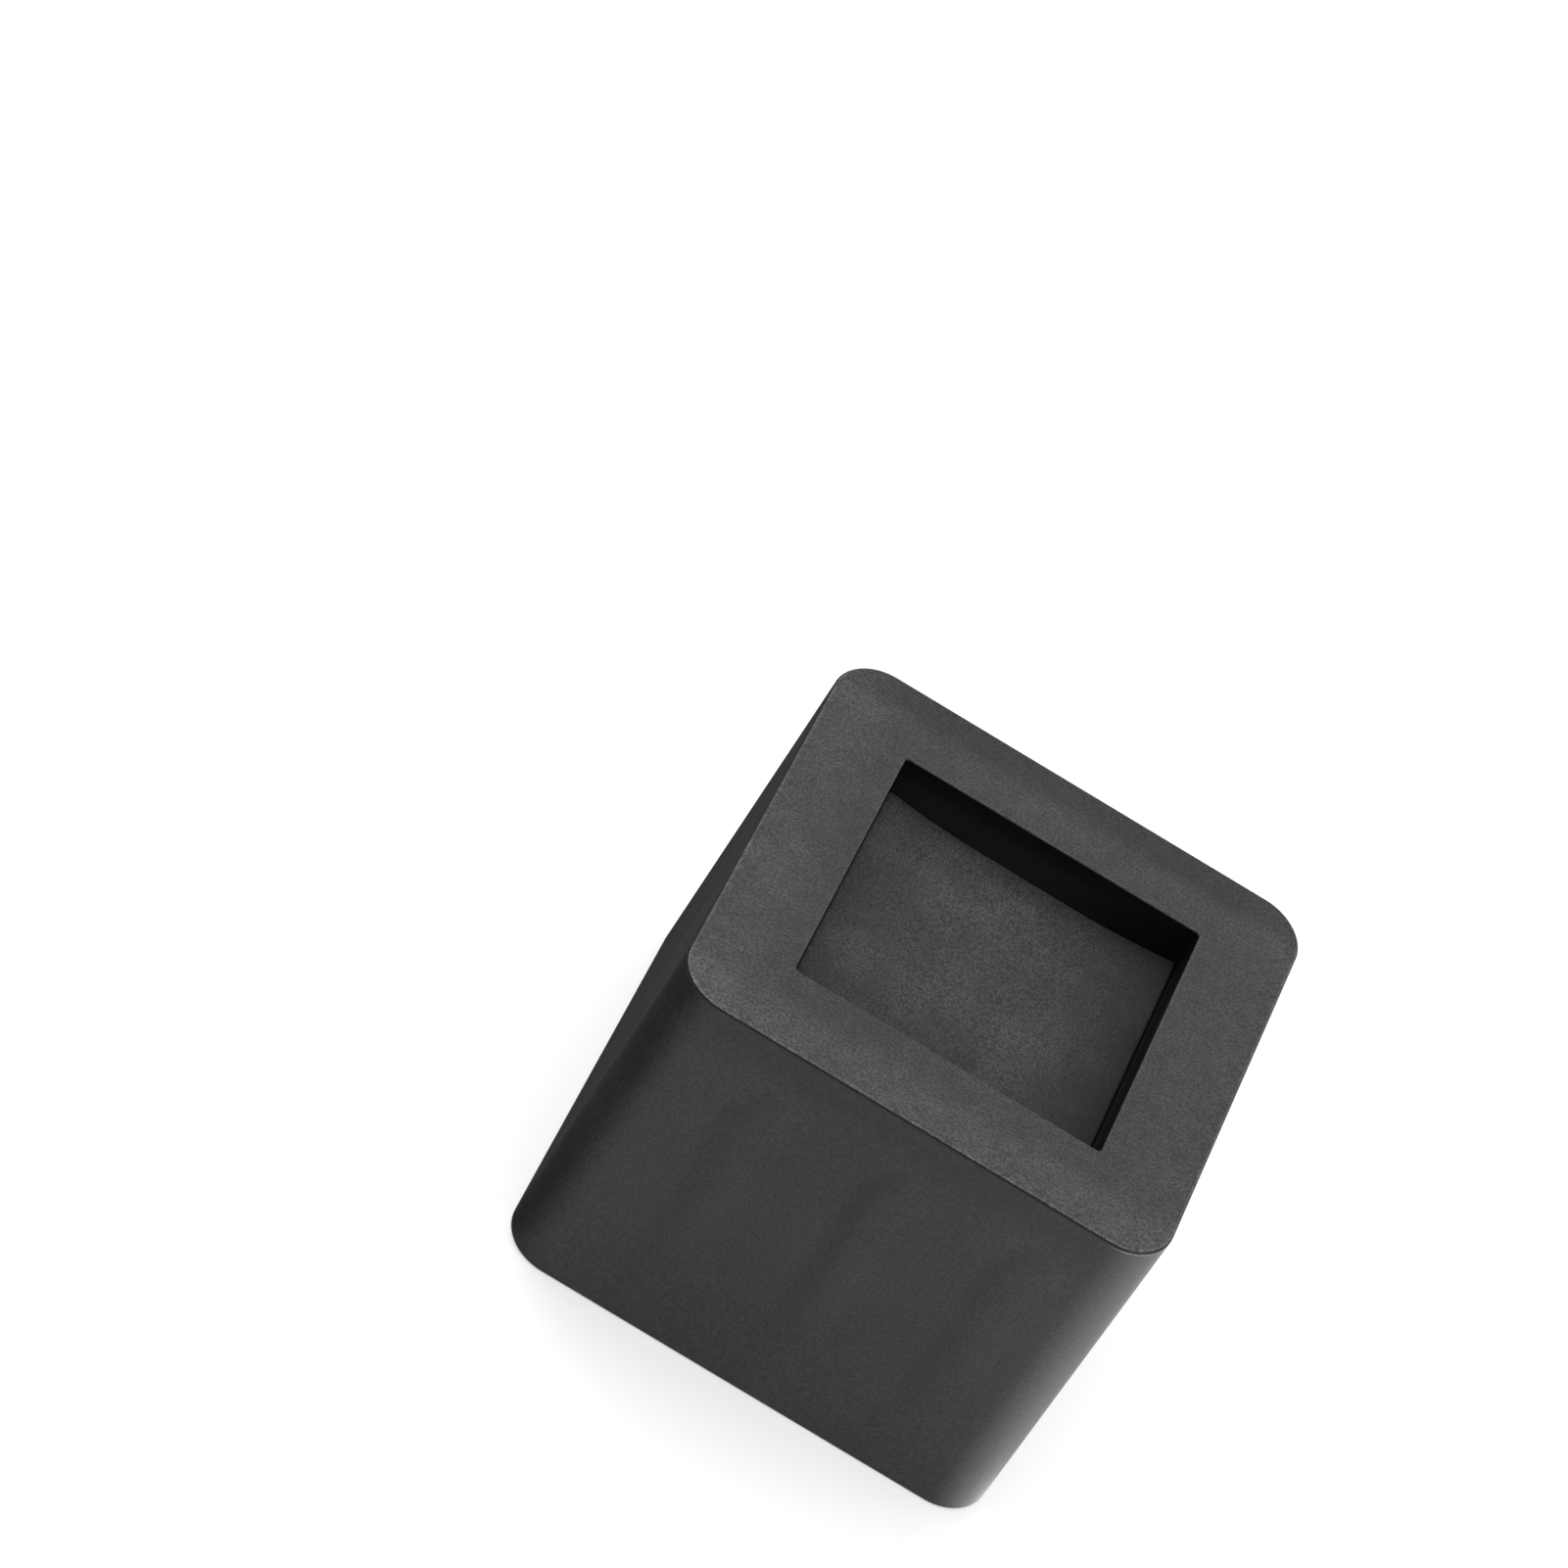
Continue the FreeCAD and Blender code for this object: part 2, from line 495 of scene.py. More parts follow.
            # Painted shade over each rib, and a painted highlight beside it
            dark = soft_line(tree, run, rib, self.band_half_mm, (1.0, 0.0))
            beside = rib + self.band_highlight_beside_mm
            pale = soft_line(tree, run, beside, self.band_highlight_half_mm, (self.band_highlight_share, 0.0))
            band = add_node(tree, "Math", (dark, pale), operation="SUBTRACT")
            total = add_node(tree, "Math", (band, depth, total), operation="MULTIPLY_ADD")
        head = (up, *in_metres(*self.head_from_to_mm), 1.0, 0.0)
        foot = (up, *in_metres(*self.foot_from_to_mm), self.foot_share, 1.0)
        ends = [add_node(tree, "MapRange", end, **EASED) for end in (head, foot)]
        share = add_node(tree, "Math", ends, operation="MULTIPLY")
        return add_node(tree, "Math", (total, share), operation="MULTIPLY")

    def _leather(self, skin: Skin) -> Node:
        """Draw the rim's sandy leather grain, with its slanting streaks.

        Args:
            skin: what the finish reads.

        Returns:
            The height of the grain.
        """
        tree = skin.tree
        along, across = (per_metre(size) for size in self.streak_mm)
        slant = {
            "Vector": skin.place,
            "Rotation": (0.0, 0.0, math.radians(self.streak_turn_deg)),
            "Scale": (along, across, across),
        }
        turned = add_node(tree, "Mapping", slant)
        streaks = add_node(tree, "TexNoise", {"Vector": turned, "Scale": 1.0, "Detail": 2.0})
        sand = add_node(tree, "TexNoise", self.rim_grain.feeds(skin.place))
        return add_node(tree, "Math", (streaks, self.streak_share, sand), operation="MULTIPLY_ADD")

    def _side_tones(self, skin: Skin, rim: Node, bands: Node) -> list[Node]:
        """Paint shade on the sides under the top edge, and the bands' painted shade and highlight
        over the ribs.

        Args:
            skin: what the finish reads.
            rim: the mask of the top plate.
            bands: how deep the bands are.

        Returns:
            Factors for the base colour.
        """
        tree = skin.tree
        # Painted shade on the sides under the top edge
        limits = in_metres(*self.under_edge_shade_from_to_mm)
        under_edge_shade = add_node(tree, "MapRange", (skin.at["Z"], *limits, 0.0, self.under_edge_shade_gain), **EASED)
        side = add_node(tree, "Math", (1.0, rim), operation="SUBTRACT")
        parts = ((under_edge_shade, side, 1.0), (bands, self.band_shade, 1.0))
        return [add_node(tree, "Math", part, operation="MULTIPLY_ADD") for part in parts]

    def _rim_tones(self, skin: Skin, rim: Node) -> list[Node]:
        """Mottle the rim, and paint light and shade on its margins, paler at the front and sides,
        darker along the back edge.

        Args:
            skin: what the finish reads.
            rim: the mask of the top plate.

        Returns:
            Factors for the base colour.
        """
        tree = skin.tree
        patches = add_node(tree, "TexNoise", self.patches.feeds(skin.place))
        in_patches = (patches, *self.noise_limits, *self.patch_gains)
        mottle = add_node(tree, "MapRange", in_patches, **EASED)
        gain: Any = 0.0
        # Painted light and shade on the rim's margins
        for axis, start, end, amount in self.rim_margin_light_and_shade:
            limits = in_metres(start, end)
            margin = add_node(tree, "MapRange", (skin.at[axis], *limits), **EASED)
            gain = add_node(tree, "Math", (margin, amount, gain), operation="MULTIPLY_ADD")
        parts = ((mottle, rim, 1.0), (gain, rim, 1.0))
        return [add_node(tree, "Math", part, operation="MULTIPLY_ADD") for part in parts]

    def _edge_tones(self, skin: Skin, rim: Node) -> list[Node]:
        """Draw the top edge: a painted highlight on its crest, painted shade in the hairline and a
        painted highlight in the arc.

        The hairline is where the mould's two halves met, and the arc lies under it.

        Args:
            skin: what the finish reads.
            rim: the mask of the top plate.

        Returns:
            Factors for the base colour.
        """
        tree = skin.tree
        up, level = skin.facing["Z"], self.sizes.part_at
        # A painted highlight along the crest of the top edge
        crest = add_node(tree, "MapRange", (up, *self.crest_highlight_rises), **EASED)
        flat = add_node(tree, "MapRange", (up, *self.crest_highlight_falls, 1.0, 0.0), **EASED)
        for mask in (flat, rim):
            crest = add_node(tree, "Math", (crest, mask), operation="MULTIPLY")
        crest_highlight = add_node(tree, "Math", (crest, self.crest_highlight_gain, 1.0), operation="MULTIPLY_ADD")
        # Painted shade in the hairline's groove
        dark = (self.hairline_shade, 1.0)
        hairline = soft_line(tree, skin.at["Z"], level, self.hairline_half_mm, dark)
        # A painted highlight in an arc under the hairline, at the front right corner
        below, pale = level - self.arc_highlight_below_mm, (self.arc_highlight_gain, 0.0)
        arc_highlight_ring = soft_line(tree, skin.at["Z"], below, self.arc_highlight_half_mm, pale)
        out = add_node(tree, "Math", (skin.at["X"], skin.at["Y"]), operation="SUBTRACT")
        limits = in_metres(*self.arc_highlight_from_to_mm)
        corner = add_node(tree, "MapRange", (out, *limits), **EASED)
        arc = add_node(tree, "Math", (arc_highlight_ring, corner, 1.0), operation="MULTIPLY_ADD")
        return [crest_highlight, hairline, arc]


@dataclass(frozen=True)
class RecessShadedPolypropylene(Finish):
    """The same black polypropylene where a polished core drew out of the recess.

    The walls face only each other and the dark pad; their near black colour is painted
    shade for the recess, with a faint cloud where the core was polished by hand.
    """

    name: str = "drawn_polypropylene_painted_shade"
    # Darker than the sides: painted shade in the recess
    deep_shade_hex: str = "#0e0e0e"
    wall_shade_hex: str = "#121212"
    specular: float = 0.05
    relief_mm: float = 0.03
    relief_strength: float = 0.2
    clouds: Grain = Grain(4.0, 4.0, 0.6)
    roughness: Span = (0.42, 0.55)

    def _layers(self, skin: Skin) -> Layers:
        """Lay out the walls and their faint clouds.

        Args:
            skin: what the finish reads.

        Returns:
            The base colour, the roughness and the height of the clouds.
        """
        tree = skin.tree
        clouds = add_node(tree, "TexNoise", self.clouds.feeds(skin.place))
        deep, wall = linear_from_hex(self.deep_shade_hex), linear_from_hex(self.wall_shade_hex)
        tones = {FACTOR: clouds, COLOUR_A: deep, COLOUR_B: wall}
        colour = add_node(tree, "Mix", tones, data_type="RGBA").outputs[MIXED]
        rough = add_node(tree, "MapRange", (clouds, *self.noise_limits, *self.roughness))
        return colour, rough, clouds


@dataclass(frozen=True)
class ClosedCellFoam(Finish):
    """Black EVA foam sheet, skived and die cut.

    A skived sheet has no skin, so the light catches the rims of its tiny cells: a fine
    even speckle, with soft paler clouds where the cells are larger and a lighter cut edge,
    partly its opened cells and partly a painted highlight where the cut catches the light.
    """

    name: str = "closed_cell_eva_foam"
    base_hex: str = "#393939"
    cloud_hex: str = "#464646"
    # The cut edge's paler cells, with a painted highlight on top
    cut_and_glint_hex: str = "#6a6a6a"
    ior: float = 1.45
    specular: float = 0.35
    sheen: float = 0.04
    sheen_roughness: float = 0.6
    relief_mm: float = 0.12
    relief_strength: float = 0.6

    # The real cells are finer, and would not show at their real size
    cells: Grain = Grain(0.42, 4.0, 0.75)
    cell_limits: Span = (0.36, 0.64)
    cell_tones: Span = (0.15, 1.95)
    roughness: Span = (0.72, 0.9)
    clouds: Grain = Grain(13.0, 2.0, 0.5)
    cloud_limits: Span = (0.38, 0.72)
    cut_tilt: Span = (0.3, 0.6)
    # The pad has painted shade towards the recess walls: axis, where each margin
    # begins and ends in millimetres, and its darkest factor
    wall_shade_margins: tuple[tuple[str, float, float, float], ...] = (
        ("X", 8.0, 31.5, 0.42),
        ("X", 26.0, 31.5, 0.7),
        ("X", -12.0, -31.5, 0.8),
        ("Y", -2.0, -26.0, 0.74),
    )

    def _layers(self, skin: Skin) -> Layers:
        """Lay out the cells, the clouds, the cut edges and the painted shade along the walls.

        Args:
            skin: what the finish reads.

        Returns:
            The base colour, the roughness and the height of the cells.
        """
        tree = skin.tree
        clouds = add_node(tree, "TexNoise", self.clouds.feeds(skin.place))
        cells = add_node(tree, "TexNoise", self.cells.feeds(skin.place))
        cloudy = add_node(tree, "MapRange", (clouds, *self.cloud_limits), **EASED)
        dark, pale = linear_from_hex(self.base_hex), linear_from_hex(self.cloud_hex)
        tones = {FACTOR: cloudy, COLOUR_A: dark, COLOUR_B: pale}
        sheet = add_node(tree, "Mix", tones, data_type="RGBA").outputs[MIXED]
        # The cut edges: their paler cells and a painted highlight
        cut = add_node(tree, "MapRange", (skin.facing["Z"], *self.cut_tilt, 1.0, 0.0))
        ends = {FACTOR: cut, COLOUR_A: sheet, COLOUR_B: linear_from_hex(self.cut_and_glint_hex)}
        base = add_node(tree, "Mix", ends, data_type="RGBA").outputs[MIXED]
        light = add_node(tree, "MapRange", (cells, *self.cell_limits, *self.cell_tones))
        # Painted shade on the pad towards the recess walls
        for axis, start, end, least in self.wall_shade_margins:
            limits = in_metres(start, end)
            side = add_node(tree, "MapRange", (skin.at[axis], *limits, 1.0, least), **EASED)
            light = add_node(tree, "Math", (light, side), operation="MULTIPLY")
        colour = add_node(tree, "VectorMath", {"Vector": base, "Scale": light}, operation="SCALE")
        rough = add_node(tree, "MapRange", (cells, *self.noise_limits, *self.roughness))
        return colour, rough, cells


@dataclass
class RiserBody:
    """The moulded riser, with the shallow sink marks that its ribs leave outside.

    Its sizes are in millimetres.
    """

    sizes: RiserSizes = RiserSizes()
    finish: MouldedPolypropylene = MouldedPolypropylene()
    recess_finish: RecessShadedPolypropylene = RecessShadedPolypropylene()

    # The grid that carries the sink marks
    column_step: float = 1.7
    row_step: float = 3.0
    # What counts as a flat outer face: how near it a point lies, and how straight it looks out
    flat_margin: float = 0.02
    flat_side: float = 0.99
    # The sink marks start over the rib heads and fade out towards the foot
    sink_depth: float = 0.16
    sink_width: float = 3.4
    sink_over_head: float = 2.0
    sink_head_run: float = 8.0
    sink_foot: float = 4.0
    sink_foot_run: float = 40.0
    corner_clearance: float = 1.0
    # The crown of the top, and what counts as its flat: how near it lies, how straight it looks up
    crown_fall: float = 0.15
    crown_reach: float = 14.0
    crown_steps: int = 7
    top_slack: float = 0.01
    flat_top: float = 0.999
    # The hairline, how far out the skin and its corners lie that it is cut into, how little
    # that skin looks up or down, and how far out the points lie that are pressed in
    part_width: float = 0.36
    part_depth: float = 0.25
    skin_reach: float = 47.5
    corner_reach: float = 60.0
    skin_lean: float = 0.9
    pressed_reach: float = 42.0
    pressed_radius: float = 49.0
    # The recess's own finish reaches a little past its wall and floor, and ends under the rim
    wall_slack: float = 0.05
    floor_slack: float = 0.1
    rim_under_top: float = 0.45
    # Creases sharper than this stay sharp
    crease_deg: float = 32.0

    def build(self) -> bpy.types.Object:
        """Build the riser's visible mesh over its CAD node.

        Returns:
            The riser object.
        """
        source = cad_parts["riser_body"]
        mesh = source.data.copy()
        mesh.name = "riser_moulding"
        mesh.materials.clear()
        work = bmesh.new()
        work.from_mesh(mesh)
        bmesh.ops.remove_doubles(work, verts=work.verts, dist=WELD)
        for facing in Facing:
            self._grid_face(work, facing)
        for vert in work.verts:
            self._draw_in(vert)
        self._crown_top(work)
        self._part_line(work)
        self._clean(work)
        for face in work.faces:
            face.smooth = True
            face.material_index = 1 if self._in_recess(face) else 0
        work.to_mesh(mesh)
        work.free()
        mesh.set_sharp_from_angle(angle=math.radians(self.crease_deg))
        mesh.materials.append(self.finish.build())
        mesh.materials.append(self.recess_finish.build())
        riser = bpy.data.objects.new("riser_moulding", mesh)
        bpy.context.scene.collection.objects.link(riser)
        soften = riser.modifiers.new("flat faces stay flat", "WEIGHTED_NORMAL")
        soften.keep_sharp = True
        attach(riser, "root")
        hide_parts("riser_body")
        return riser

    def _in_recess(self, face: bmesh.types.BMFace) -> bool:
        """Tell a wall or the floor of the recess, under its softened rim.

        Args:
            face: the face.

        Returns:
            Whether it is one.
        """
        sizes = self.sizes
        centre = face.calc_center_median() / MM
        if max(abs(centre.x), abs(centre.y)) >= sizes.recess_half + self.wall_slack:
            return False
        floor = sizes.height - sizes.recess_depth
        return floor - self.floor_slack < centre.z < sizes.height - self.rim_under_top

    def _on_face(self, point: Vector, facing: Facing) -> bool:
        """Tell whether a point lies on a flat outer face.

        Args:
            point: the point, in metres.
            facing: the outer face.

        Returns:
            Whether it does.
        """
        axis, sign = facing.value
        half = self.sizes.half_at(point.z / MM) * MM
        return abs(point[axis] * sign - half) < self.flat_margin * MM

    def _slice(
        self,
        work: bmesh.types.BMesh,
        faces: Iterable[bmesh.types.BMFace],
        at: Vector,
        along: Vector,
    ) -> None:
        """Cut some faces with a plane.

        Args:
            work: the mesh being built.
            faces: the faces to cut.
            at: a point in the plane.
            along: the plane's normal.
        """
        faces = list(faces)
        edges = list(dict.fromkeys(edge for face in faces for edge in face.edges))
        verts = list(dict.fromkeys(vert for face in faces for vert in face.verts))
        bmesh.ops.bisect_plane(
            work, geom=faces + edges + verts, plane_co=at, plane_no=along, dist=CUT_SNAP
        )

    def _grid_face(self, work: bmesh.types.BMesh, facing: Facing) -> None:
        """Cut one flat outer face into a grid fine enough to carry the sink marks.

        Args:
            work: the mesh being built.
            facing: which face to cut.
        """
        axis, sign = facing.value

        def flat_faces() -> list[bmesh.types.BMFace]:
            """Find the faces that lie in the flat outer face.

            Returns:
                The faces.
            """
            found = []
            for face in work.faces:
                if face.normal[axis] * sign < self.flat_side:
                    continue
                if all(self._on_face(vert.co, facing) for vert in face.verts):
                    found.append(face)
            return found

        work.normal_update()
        across = Vector((0.0, 1.0, 0.0)) if axis == 0 else Vector((1.0, 0.0, 0.0))
        edge = (self.sizes.top_half - self.sizes.corner_radius) * MM
        step = self.column_step * MM
        count = int(edge / step)
        for i in range(-count, count + 1):
            self._slice(work, flat_faces(), across * (i * step), across)
        rows = int(self.sizes.height / self.row_step)
        for i in range(1, rows):
            self._slice(work, flat_faces(), UP * (i * self.row_step * MM), UP)

    def _draw_in(self, vert: bmesh.types.BMVert) -> None:
        """Sink one vertex of a flat outer face where a rib stands behind it.

        Args:
            vert: the vertex.
        """
        sizes = self.sizes
        for facing in Facing:
            if not self._on_face(vert.co, facing):
                continue
            axis, sign = facing.value
            run = vert.co[1 - axis] / MM
            if abs(run) > sizes.top_half - sizes.corner_radius - self.corner_clearance:
                continue
            z = vert.co.z / MM
            start = (sizes.rib_head + self.sink_over_head - z) / self.sink_head_run
            fade = (z - self.sink_foot) / self.sink_foot_run
            share = min(max(start, 0.0), 1.0) * min(max(fade, 0.0), 1.0)
            depth = 0.0
            for at in sizes.rib_at:
                depth += math.exp(-0.5 * ((run - at) / self.sink_width) ** 2)
            vert.co[axis] -= sign * depth * self.sink_depth * share * MM
            return

    def _crown_top(self, work: bmesh.types.BMesh) -> None:
        """Let the flat top fall away a little towards its outer edge, as it cooled.

        Args:
            work: the mesh being built.
        """
        sizes = self.sizes
        start = sizes.top_half - self.crown_reach
        step = self.crown_reach / self.crown_steps
        for facing in (Facing.LEFT, Facing.RIGHT, Facing.FRONT, Facing.BACK):
            axis, sign = facing.value
            along = Vector((0.0, 0.0, 0.0))
            along[axis] = 1.0
            for i in range(self.crown_steps):
                work.normal_update()
                top = []
                for face in work.faces:
                    level = face.calc_center_median().z / MM
                    if face.normal.z > self.flat_top and level > sizes.height - self.top_slack:
                        top.append(face)
                self._slice(work, top, along * (sign * (start + i * step) * MM), along)
        foot = sizes.height - sizes.top_edge
        for vert in work.verts:
            climb = (vert.co.z / MM - foot) / sizes.top_edge
            if climb <= 0.0:
                continue
            out = [max(abs(vert.co[i]) / MM - start, 0.0) / self.crown_reach for i in (0, 1)]
            fall = self.crown_fall * (out[0] ** 2 + out[1] ** 2)
            vert.co.z -= fall * min(climb, 1.0) * MM

    def _part_line(self, work: bmesh.types.BMesh) -> None:
        """Press a hairline round the body where the mould's top plate met its sides.

        Args:
            work: the mesh being built.
        """
        deep = self.sizes.part_at
        half = self.part_width / 2.0
        for level in (deep - half, deep, deep + half):
            work.normal_update()
            skin = []
            for face in work.faces:
                centre = face.calc_center_median() / MM
                reach = max(abs(centre.x), abs(centre.y))
                outside = reach > self.skin_reach or centre.xy.length > self.corner_reach
                if outside and abs(face.normal.z) < self.skin_lean:
                    skin.append(face)
            self._slice(work, skin, UP * (level * MM), UP)
        work.normal_update()
        for vert in work.verts:
            if abs(vert.co.z - deep * MM) > WELD:
                continue
            place = vert.co / MM
            if max(abs(place.x), abs(place.y)) < self.pressed_reach:
                continue
            if place.xy.length < self.pressed_radius:
                continue
            inward = Vector((vert.normal.x, vert.normal.y, 0.0))
            vert.co -= inward.normalized() * self.part_depth * MM

    def _clean(self, work: bmesh.types.BMesh) -> None:
        """Part many-sided faces evenly, so that no face is left without area.

        Args:
            work: the mesh being built.
        """
        bmesh.ops.dissolve_degenerate(work, dist=WELD, edges=work.edges)
        many_sided = [face for face in work.faces if len(face.verts) > 4]
        parted = bmesh.ops.triangulate(work, faces=many_sided, ngon_method="BEAUTY")
        bmesh.ops.beautify_fill(
            work, faces=parted["faces"], edges=parted["edges"], method="ANGLE"
        )
        bmesh.ops.recalc_face_normals(work, faces=work.faces)


@dataclass
class RecessPad:
    """The thin foam pad, cut a little long, so that its two ends ride up.

    Its sizes are in millimetres, and cells is how many squares its grid has each way.
    """

    finish: ClosedCellFoam = ClosedCellFoam()
    thickness: float = 2.4
    left_lift: float = 1.75
    right_lift: float = 1.5
    flat_share: float = 0.34
    cells: int = 72
    # Creases sharper than the first angle are rounded a little, and past the second stay sharp
    edge_round: float = 0.3
    round_over_deg: float = 50.0
    crease_deg: float = 60.0
    # The top is not quite flat: how high it ripples, and along X and Y its radians a metre
    # and where they start
    ripple: float = 0.05
    ripple_turns: Span = (140.0, 170.0)
    ripple_start: Span = (0.7, 0.3)
    # The two cut ends lean a little less than the curve, which keeps them clear of the walls
    end_lean: float = 0.98
    # The run over which the curve's slope is measured
    slope_run: float = 0.01

    def build(self) -> bpy.types.Object:
        """Build the pad in the space of its CAD node.

        Returns:
            The pad object.
        """
        low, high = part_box("recess_pad")
        half_x = (high[0] - low[0]) / 2.0
        half_y = (high[1] - low[1]) / 2.0
        floor = low[2]
        work = bmesh.new()
        top = self._layer(work, half_x, half_y, floor, self.thickness * MM)
        under = self._layer(work, half_x, half_y, floor, 0.0)
        n = self.cells
        for i in range(n):
            for j in range(n):
                k, m = i + 1, j + 1
                work.faces.new((top[i][j], top[k][j], top[k][m], top[i][m]))
                work.faces.new((under[i][j], under[i][m], under[k][m], under[k][j]))
        for i in range(n):
            k = i + 1
            work.faces.new((under[i][0], under[k][0], top[k][0], top[i][0]))
            work.faces.new((under[k][n], under[i][n], top[i][n], top[k][n]))
            work.faces.new((under[0][k], under[0][i], top[0][i], top[0][k]))
            work.faces.new((under[n][i], under[n][k], top[n][k], top[n][i]))
        bmesh.ops.recalc_face_normals(work, faces=work.faces)
        work.normal_update()
        sharp = math.radians(self.round_over_deg)
        rims = [edge for edge in work.edges if edge.calc_face_angle(0.0) > sharp]
        bmesh.ops.bevel(
            work,
            geom=rims,
            offset=self.edge_round * MM,
            offset_type="OFFSET",
            segments=2,
            profile=0.5,
            affect="EDGES",
        )
        for face in work.faces:
            face.smooth = True
        mesh = bpy.data.meshes.new("foam_pad")
        work.to_mesh(mesh)
        work.free()
        mesh.set_sharp_from_angle(angle=math.radians(self.crease_deg))
        mesh.materials.append(self.finish.build())
        pad = bpy.data.objects.new("foam_pad", mesh)
        bpy.context.scene.collection.objects.link(pad)
        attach(pad, "root")
        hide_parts("recess_pad")
        return pad

    def _rise(self, x: float, half: float) -> float:
        """Follow the pad's curve.

        Args:
            x: the place along it, in metres.
            half: half its length, in metres.

        Returns:
            How far it has risen off the floor there.
        """
        flat = half * self.flat_share
        if abs(x) <= flat:
            return 0.0
        lift = self.right_lift if x > 0.0 else self.left_lift
        return lift * MM * ((abs(x) - flat) / (half - flat)) ** 2

    def _ripple(self, x: float, y: float) -> float:
        """Ripple the top a little.

        Args:
            x: the place along the curve, in metres.
            y: the place across it, in metres.

        Returns:
            How far the top stands over its even height there.
        """
        waves = math.sin(x * self.ripple_turns[0] + self.ripple_start[0])
        waves *= math.sin(y * self.ripple_turns[1] + self.ripple_start[1])
        return self.ripple * MM * waves

    def _layer(
        self,
        work: bmesh.types.BMesh,
        half_x: float,
        half_y: float,
        floor: float,
        above: float,
    ) -> list[list[bmesh.types.BMVert]]:
        """Lay a grid of vertices along the pad's curve.

        Args:
            work: the mesh being built.
            half_x: half length, along the curve.
            half_y: half width.
            floor: height of the recess floor.
            above: distance above the pad's underside.

        Returns:
            The vertices, by row and column.
        """
        grid = []
        n = self.cells
        step = self.slope_run * MM
        for i in range(n + 1):
            x = -half_x + 2.0 * half_x * i / n
            slope = (self._rise(x + step, half_x) - self._rise(x - step, half_x)) / (2.0 * step)
            slope *= 1.0 if abs(x) < half_x else self.end_lean
            turn = math.atan(slope)
            row = []
            for j in range(n + 1):
                y = -half_y + 2.0 * half_y * j / n
                wave = self._ripple(x, y) if above > 0.0 else 0.0
                px = x - above * math.sin(turn)
                pz = floor + self._rise(x, half_x) + above * math.cos(turn) + wave
                row.append(work.verts.new((px, y, pz)))
            grid.append(row)
        return grid


@dataclass
class PaleSweep:
    """A seamless pale floor, wide enough to fill the view.

    It is cut away under the riser, a little outside the line that the body stands on,
    so that a view from below sees the ribs and has light to see them by.
    """

    half_metres: float = 4.0
    colour_hex: str = "#f4f4f4"
    glow: float = 0.42
    foot_gap_mm: float = 0.03
    arc_steps: int = 12
    sizes: RiserSizes = RiserSizes()

    def build(self) -> bpy.types.Object:
        """Lay the floor under the riser.

        Returns:
            The floor object.
        """
        mesh = bpy.data.meshes.new("studio_floor")
        verts: list[Point] = []
        faces: list[tuple[int, ...]] = []
        for quarter in range(4):
            turn = quarter * math.pi / 2.0
            verts += [self._far(turn - math.pi / 4.0), *self._quarter(turn)]
        count = self.arc_steps + 2
        for quarter in range(4):
            start, after = quarter * count, (quarter + 1) % 4 * count
            arc = list(range(start + 1, start + count))
            faces.append((start, after, *reversed(arc)))
            faces.append((after, after + 1, arc[-1]))
        mesh.from_pydata(verts, [], faces)
        mesh.materials.append(self._paper())
        floor = bpy.data.objects.new("studio_floor", mesh)
        bpy.context.scene.collection.objects.link(floor)
        return floor

    def _far(self, turn: float) -> Point:
        """Far corner of the floor, on a bearing in radians."""
        reach = self.half_metres * math.sqrt(2.0)
        return (reach * math.cos(turn), reach * math.sin(turn), 0.0)

    def _quarter(self, turn: float) -> list[Point]:
        """One rounded corner of the cut-out, turned round the upright axis.

        Args:
            turn: how far round the corner is, in radians.

        Returns:
            Its points, in order round the cut-out.
        """
        sizes = self.sizes
        centre = (sizes.base_half - sizes.corner_radius) * MM
        radius = (sizes.corner_radius - sizes.base_edge + self.foot_gap_mm) * MM
        spin = turn - math.pi / 2.0
        points = []
        for step in range(self.arc_steps + 1):
            angle = math.pi / 2.0 * step / self.arc_steps
            x = centre + radius * math.cos(angle)
            y = centre + radius * math.sin(angle)
            turned_x = x * math.cos(spin) - y * math.sin(spin)
            turned_y = x * math.sin(spin) + y * math.cos(spin)
            points.append((turned_x, turned_y, 0.0))
        return points

    def _paper(self) -> bpy.types.Material:
        """Make a card that looks white to the eye but still takes a shadow.

        Returns:
            The finished material.
        """
        material = empty_material("white_card")
        tree = material.node_tree
        card = add_node(tree, "BsdfDiffuse", {"Color": linear_from_hex(self.colour_hex)})
        glow = add_node(tree, "Emission", {"Color": WHITE, "Strength": self.glow})
        both = add_node(tree, "AddShader", (card, glow))
        seen = add_node(tree, "MixShader", (seen_directly(tree), card, both))
        add_node(tree, "OutputMaterial", {"Surface": seen})
        return material


@dataclass(frozen=True)
class SoftBox:
    """One square soft box: its power, its side and where it hangs, in metres."""

    name: str
    watts: float
    side: float
    place: Point
    aim_height: float = 0.05

    def hang(self) -> bpy.types.Object:
        """Hang the soft box and aim it at the riser.

        Returns:
            The lamp object.
        """
        lamp = bpy.data.lights.new(self.name, "AREA")
        lamp.shape = "SQUARE"
        lamp.size = self.side
        lamp.energy = self.watts
        box = bpy.data.objects.new(self.name, lamp)
        box.location = self.place
        aim = Vector((0.0, 0.0, self.aim_height)) - Vector(self.place)
        box.rotation_euler = aim.to_track_quat("-Z", "Y").to_euler()
        box.visible_camera = False
        bpy.context.scene.collection.objects.link(box)
        return box


